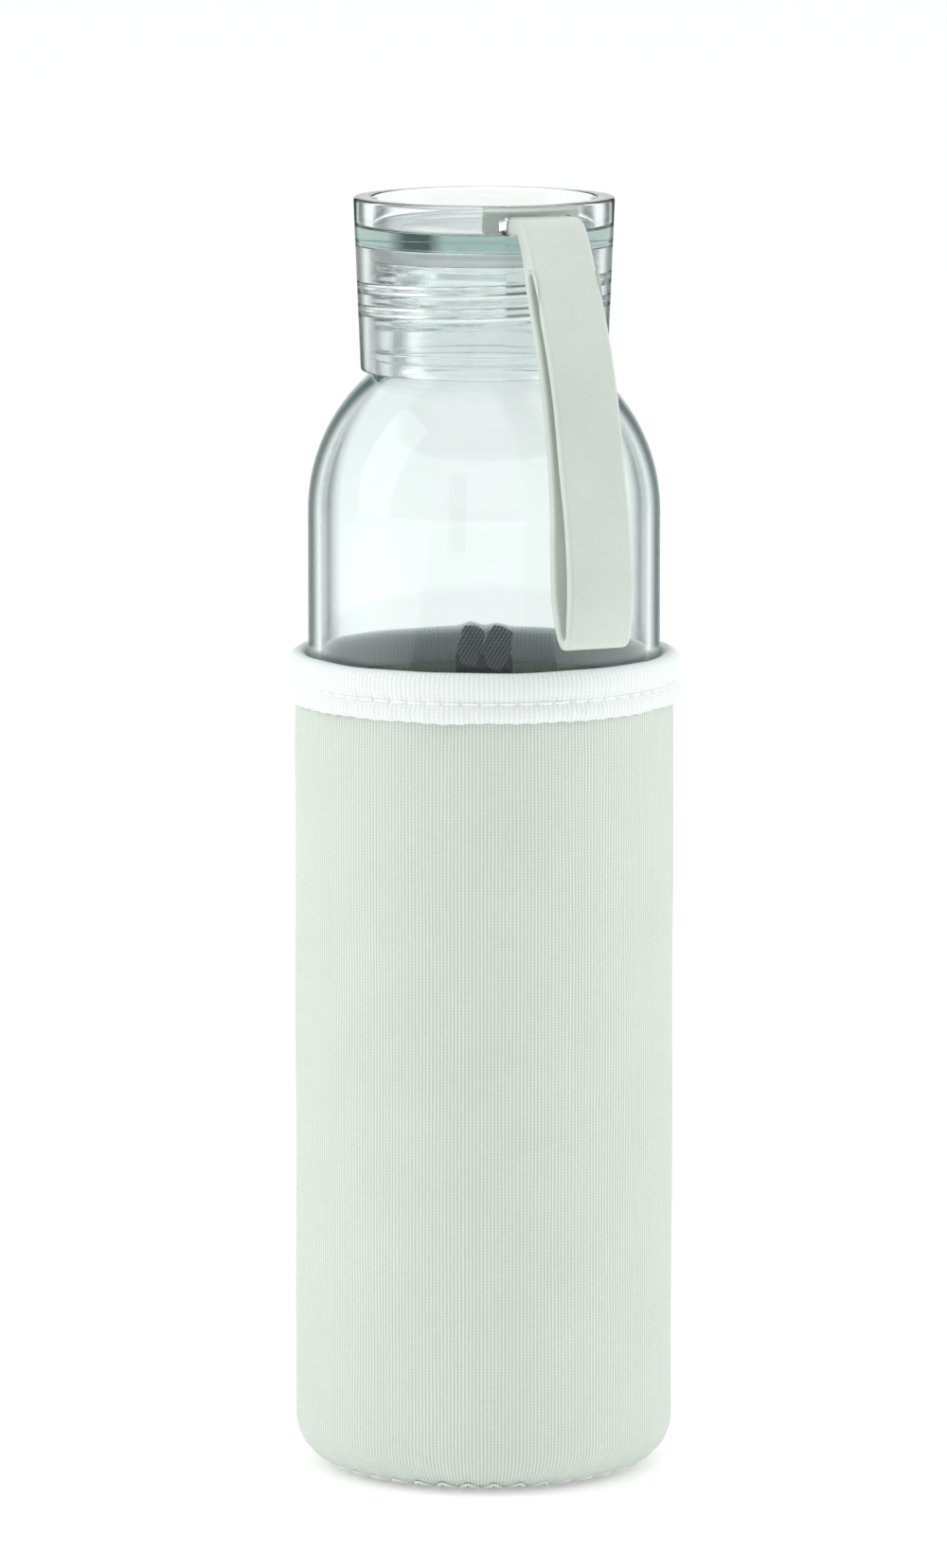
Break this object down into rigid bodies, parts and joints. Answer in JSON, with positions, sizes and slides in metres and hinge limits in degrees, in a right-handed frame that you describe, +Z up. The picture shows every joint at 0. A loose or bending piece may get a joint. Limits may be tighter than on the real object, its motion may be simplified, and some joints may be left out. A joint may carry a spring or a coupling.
{
  "type": "glass water bottle",
  "caption": "Slim clear glass water bottle with a clear screw cap, a rubber carrying strap through the cap and a knit-faced neoprene pouch.",
  "frame": {"origin": "on the bottle's axis, on the underside of the pouch", "axes": "+Z up along the bottle's axis, -Y the side the strap hangs on, seam of the pouch at the back"},
  "size_m": [0.068, 0.0796, 0.22],
  "materials": {
    "bottle_glass": "clear, glossy",
    "clear_plastic": "clear moulded plastic, faintly grey",
    "seal_silicone": "translucent silicone",
    "strap_rubber": "satin moulded rubber, off-white",
    "pouch_knit": "fine ribbed knit over neoprene, pale grey-beige",
    "binding_knit": "fine ribbed white knit tape",
    "sewing_thread": "white twisted thread"
  },
  "bodies": {
    "pouch": {"sleeve_body": "pouch_knit", "sleeve_base": "pouch_knit", "top_binding": "binding_knit", "binding_stitching": "sewing_thread", "base_stitching": "sewing_thread", "side_stitching": "sewing_thread"},
    "bottle": {"glass_bottle": "bottle_glass"},
    "seal": {"seal_ring": "seal_silicone"},
    "cap": {"cap_shell": "clear_plastic", "strap_anchor": "strap_rubber"},
    "strap": {"strap_loop": "strap_rubber"}
  },
  "joints": [
    {"name": "bottle_lift", "type": "slide", "parent": "pouch", "child": "bottle", "axis": [0, 0, 1], "range_m": [0, 0.15]},
    {"name": "cap_rise", "type": "slide", "parent": "bottle", "child": "seal", "axis": [0, 0, 1], "range_m": [0, 0.023]},
    {"name": "cap_turn", "type": "hinge", "parent": "seal", "child": "cap", "pos_m": [0, 0, 0.2], "axis": [0, 0, 1], "range_deg": [0, 2160]},
    {"name": "strap_swing", "type": "hinge", "parent": "cap", "child": "strap", "pos_m": [0, -0.027, 0.21655], "axis": [-1, 0, 0], "range_deg": [0, 165]}
  ],
  "couplings": [
    {"joint": "cap_rise", "follows": "cap_turn", "m_per_rad": 0.00060479}
  ]
}
